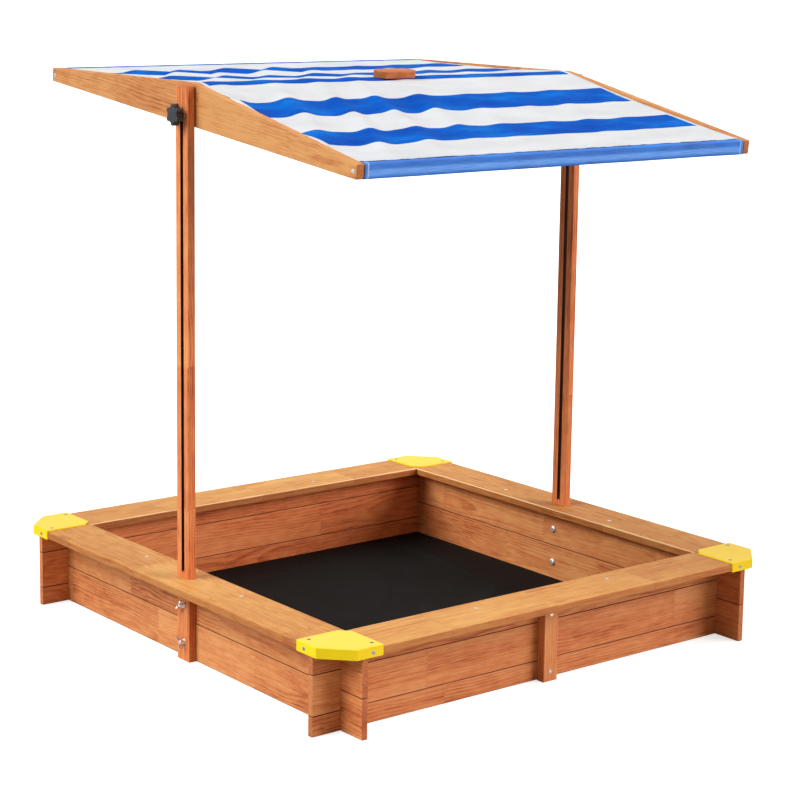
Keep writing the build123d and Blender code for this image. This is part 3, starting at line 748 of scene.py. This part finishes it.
def canopy_rows():
    """The canopy's grid, from the front sleeve over the ridge to the back sleeve: its rows of points, their
    flat places, the distance from the ridge of each point of the profile, and how many lie on the slope."""
    profile, on_slope = half_profile()
    run = [0.0]
    for a, b in zip(profile, profile[1:]):
        run.append(run[-1] + math.dist(a, b))
    inner = CLOTH_HALF_W - HEM
    columns = np.concatenate([
        np.linspace(-CLOTH_HALF_W, -inner, 5)[:-1],
        [-inner - HEM_STEP],
        np.linspace(-inner, inner, 165),
        [inner + HEM_STEP],
        np.linspace(inner, CLOTH_HALF_W, 5)[1:],
    ])
    rows, flat = [], []
    count = len(profile)
    order = [(-1, i) for i in range(count - 1, 0, -1)] + [(1, i) for i in range(count)]
    middle = (-(bar_low.y + bar_high.y) / 2, (bar_low.z + bar_high.z) / 2)
    for end, i in order:
        out, height = profile[i]
        away = Vector((out - middle[0], height - middle[1])).normalized()
        row = []
        for x in columns:
            lift, push = 0.0, 0.0
            if i < on_slope:
                lift = fold(x, out, end) + (HEM_RISE if abs(x) > inner else 0.0)
            elif i < count - TUCK_POINTS:
                push = sleeve_push(x, (i - on_slope) / (count - on_slope), end)
            place = Vector((x, end * (out + away[0] * push), height + lift + away[1] * push))
            row.append(TO_ROOF @ place)
        rows.append(row)
        flat.append([(x, end * run[i]) for x in columns])
    return rows, flat, run, on_slope


def make_canopy():
    """The cloth roof. Returns it, its grid, and what canopy_rows says of its profile."""
    rows, flat, run, on_slope = canopy_rows()
    canopy = make_mesh("canopy", rows, flat, canopy_cloth(), "roof")
    thicken(canopy, CLOTH_T)
    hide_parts("roof_fabric")
    return canopy, rows, run, on_slope


canopy, canopy_grid, canopy_run, SLOPE_ROWS = make_canopy()


# ------------------------------------------------------------------ stitches
THREAD_R = 0.00032
THREAD_WHITES = ((0.52, 0.53, 0.56), (0.74, 0.75, 0.77))
STITCH = 0.0034             # from the start of one stitch to the start of the next
STITCH_GAP = 0.0011
STITCH_SIDES = 5
# For each ring of a stitch's vertices: its place as a share of the length, and its share of the radius.
STITCH_SHAPE = ((0.0, 0.4), (0.25, 1.0), (0.75, 1.0), (1.0, 0.4))
SEAM_LANE = 2.5             # rows of the grid from the slope's end to the seam
HEM_LANE = 3.6              # columns of the grid from the cloth's edge to the hem's stitches


def grid_point(u, v, rise):
    """A point of the canopy at fractional grid place (row u, column v), lifted off the cloth by rise."""
    row = min(int(u), len(canopy_grid) - 2)
    column = min(int(v), len(canopy_grid[0]) - 2)
    here, beside = canopy_grid[row][column:column + 2]
    below, beyond = canopy_grid[row + 1][column:column + 2]
    normal = (beside - here).cross(below - here).normalized()
    near = here.lerp(beside, v - column)
    far = below.lerp(beyond, v - column)
    return near.lerp(far, u - row) + normal * rise


def add_stitch(bm, start, stop, side, above):
    """One stitch: a thread bar with narrower ends."""
    rings = []
    for share, size in STITCH_SHAPE:
        centre = start.lerp(stop, share)
        ring = []
        for k in range(STITCH_SIDES):
            angle = 2 * math.pi * k / STITCH_SIDES
            off = side * math.cos(angle) * THREAD_R * size + above * math.sin(angle) * THREAD_R * size
            ring.append(bm.verts.new(centre + off))
        rings.append(ring)
    for near, far in zip(rings, rings[1:]):
        for k in range(STITCH_SIDES):
            after = (k + 1) % STITCH_SIDES
            bm.faces.new((near[k], near[after], far[after], far[k]))
    bm.faces.new(rings[0][::-1])
    bm.faces.new(rings[-1])


def stitch_row(name, places, rise):
    """Stitches along a run of grid places, joined into one mesh, riding on the roof."""
    bm = bmesh.new()
    points = [grid_point(u, v, rise) for u, v in places]
    run = 0.0
    for a, b in zip(points, points[1:]):
        step = (b - a).length
        direction = (b - a) / step
        side = direction.cross(Vector((0, 0, 1))).normalized()
        above = side.cross(direction)
        while run < step:
            stop = a + direction * min(run + STITCH - STITCH_GAP, step)
            add_stitch(bm, a + direction * run, stop, side, above)
            run += STITCH
        run -= step
    mesh = bpy.data.meshes.new(name)
    bmesh.ops.recalc_face_normals(bm, faces=bm.faces)
    bm.to_mesh(mesh)
    bm.free()
    mesh.polygons.foreach_set("use_smooth", [True] * len(mesh.polygons))
    obj = add_object(name, mesh)
    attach(obj, "roof")
    return obj


def thread_material():
    """White sewing thread."""
    t = Tree("thread_white")
    twist = t.noise(t.coordinate("Object"), 1800.0, 2.0)
    t.set(Base_Color=t.ramp(twist, (0.3, 0.7), THREAD_WHITES))
    t.set(Roughness=t.map(twist, 0.3, 0.7, 0.6, 0.8))
    return t.material


def make_stitches():
    """A seam just inside each bar, and one along each side hem."""
    last_column = len(canopy_grid[0]) - 1
    middle = (len(canopy_grid) - 1) / 2
    seam = SLOPE_ROWS - SEAM_LANE
    down = range(int(middle - seam) + 1, int(middle + seam))
    lanes = {
        "seam_front": [(middle - seam, v) for v in range(last_column + 1)],
        "seam_back": [(middle + seam, v) for v in range(last_column + 1)],
        "hem_left": [(u, HEM_LANE) for u in down],
        "hem_right": [(u, last_column - HEM_LANE) for u in down],
    }
    thread = thread_material()
    found = []
    for name, places in lanes.items():
        row = stitch_row("stitches_" + name, places, CLOTH_T / 2 + THREAD_R * 0.6)
        paint(row, thread)
        found.append(row)
    return found


stitches = make_stitches()


# ------------------------------------------------------------------ ground sheet
GROUND_T = 0.0008
GROUND_LIFT = 0.0004        # the height of the sheet's middle at its edge is this more than its thickness
GROUND_CREASE = 0.0045      # height of the creases
GROUND_SWELL = 0.0050       # and of the broad swells
GROUND_CALM = 0.5           # how far from the pit's middle the sheet is flat again
GROUND_FADE = 0.05          # and over how much it gets there
GROUND_TAPE = 0.0032        # pitch of the weave
GROUND_BLACKS = ((0.0115, 0.0115, 0.0110), (0.0220, 0.0216, 0.0205))
GROUND_DUST = (0.030, 0.029, 0.027)


def ground_cloth():
    """Black ground fabric with a faint grid of threads, dusty patches and a dull sheen."""
    t = Tree("ground_cloth")
    flat = t.flat()
    weave = t.weave(t.split(flat), GROUND_TAPE)
    cloud = t.cloth_noise(flat, 3.1, 3.1, 5.0, 0.6)
    dust = t.cloth_noise(flat, 14, 14, 6.0, 0.7)
    colour = t.ramp(cloud, (0.3, 0.7), GROUND_BLACKS)
    colour = t.mix(t.map(dust, 0.5, 0.8, 0.0, 0.5), colour, GROUND_DUST)
    t.set(Base_Color=colour, Specular_IOR_Level=0.08)
    t.set(Roughness=t.map(cloud, 0.3, 0.7, 0.60, 0.75))
    t.bump(t.math("MULTIPLY_ADD", dust, 1.5, weave), 0.00035, 0.5)
    return t.material


def ground_height(x, y):
    """Height of the middle of the sheet's thickness: creases and swells that die out at its edge."""
    place = Vector((x * 3.3, y * 3.3, 0.0))
    bend_x = noise.noise(place * 0.7 + Vector((9, 0, 0)))
    bend_y = noise.noise(place * 0.7 + Vector((0, 9, 0)))
    bent = place * 0.9 + Vector((bend_x, bend_y, 0)) * 0.8
    crease = max(1.0 - abs(noise.noise(bent)) * 2.6, 0.0) ** 3
    swell = 0.5 + 0.5 * noise.noise(place * 0.55 + Vector((4, 4, 2)))
    fade = max(min(1.0, (GROUND_CALM - max(abs(x), abs(y))) / GROUND_FADE), 0.0)
    return GROUND_T + GROUND_LIFT + fade * (GROUND_CREASE * crease + GROUND_SWELL * swell)


def make_ground_sheet():
    """The black sheet that the sand lies on, laid loose with low creases."""
    low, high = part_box("ground_sheet")
    xs = np.linspace(low.x, high.x, 150)
    ys = np.linspace(low.y, high.y, 150)
    rows = [[Vector((x, y, ground_height(x, y))) for x in xs] for y in ys]
    flat = [[(x, y) for x in xs] for y in ys]
    sheet = make_mesh("ground_sheet_cloth", rows, flat, ground_cloth(), "base")
    thicken(sheet, GROUND_T)
    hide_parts("ground_sheet")


make_ground_sheet()


# ------------------------------------------------------------------ floor and light
FLOOR_SIZE = 400.0
FLOOR_DROP = 0.0004         # the floor lies this far below the object's feet
FLOOR_GLOW = 0.55           # what the camera sees of it is brighter by this much
FLOOR_LIT = (0.57, 0.65, 0.68)
FLOOR_BOUNCED = (0.42, 0.42, 0.42)
WORLD_LIGHT = 0.35          # the camera sees the world white, and the object is lit by this much of it
WORLD_TINT = (1.0, 0.90, 0.80, 1.0)     # and in this colour


def make_floor():
    """A wide pale floor. Light that has bounced meets it darker, as if dark cards stood round the object."""
    bm = bmesh.new()
    bmesh.ops.create_grid(bm, x_segments=2, y_segments=2, size=FLOOR_SIZE)
    mesh = bpy.data.meshes.new("floor")
    bm.to_mesh(mesh)
    bm.free()
    floor = add_object("floor", mesh)
    floor.location.z = -FLOOR_DROP
    t = Tree("floor_pale")
    path = t.add("LightPath")
    t.set(Roughness=0.9, Specular_IOR_Level=0.1, Emission_Color=WHITE)
    t.set(Emission_Strength=t.math("MULTIPLY", path.outputs["Is Camera Ray"], FLOOR_GLOW))
    t.set(Base_Color=t.mix(path.outputs["Is Diffuse Ray"], FLOOR_LIT, FLOOR_BOUNCED))
    paint(floor, t.material)


def make_sun(name, towards_light, strength, angle, colour):
    """A soft, distant light that comes from a direction."""
    data = bpy.data.lights.new(name, "SUN")
    data.energy = strength * math.pi
    data.angle = math.radians(angle)
    data.color = colour
    light = add_object(name, data)
    light.rotation_euler = (-Vector(towards_light)).to_track_quat("-Z", "Y").to_euler()


def make_world():
    """White behind the object, and a weaker, warmer light on it."""
    world = bpy.data.worlds.new("studio")
    world.use_nodes = True
    tree = world.node_tree
    background = tree.nodes["Background"]
    tint = tree.nodes.new("ShaderNodeMix")
    tint.data_type = "RGBA"
    tint.inputs[COLOUR_A].default_value = WORLD_TINT
    tint.inputs[COLOUR_B].default_value = WHITE
    path = tree.nodes.new("ShaderNodeLightPath")
    seen = tree.nodes.new("ShaderNodeMapRange")
    seen.inputs["To Min"].default_value = WORLD_LIGHT
    seen.inputs["To Max"].default_value = 1.0
    tree.links.new(path.outputs["Is Camera Ray"], seen.inputs["Value"])
    tree.links.new(seen.outputs["Result"], background.inputs["Strength"])
    tree.links.new(path.outputs["Is Camera Ray"], tint.inputs[0])
    tree.links.new(tint.outputs[COLOUR_OUT], background.inputs["Color"])
    bpy.context.scene.world = world


make_floor()
make_world()
make_sun("key", (-0.75, 0.25, 0.61), 0.92, 40, (0.96, 1.0, 1.04))
make_sun("fill", (0.66, -0.64, 0.40), 0.76, 45, (1.0, 0.88, 0.93))
make_sun("rim", (0.55, 0.75, 0.36), 0.08, 50, (1.0, 1.0, 1.0))
bpy.context.scene.view_settings.view_transform = "Standard"
bpy.context.scene.view_settings.look = "Medium High Contrast"
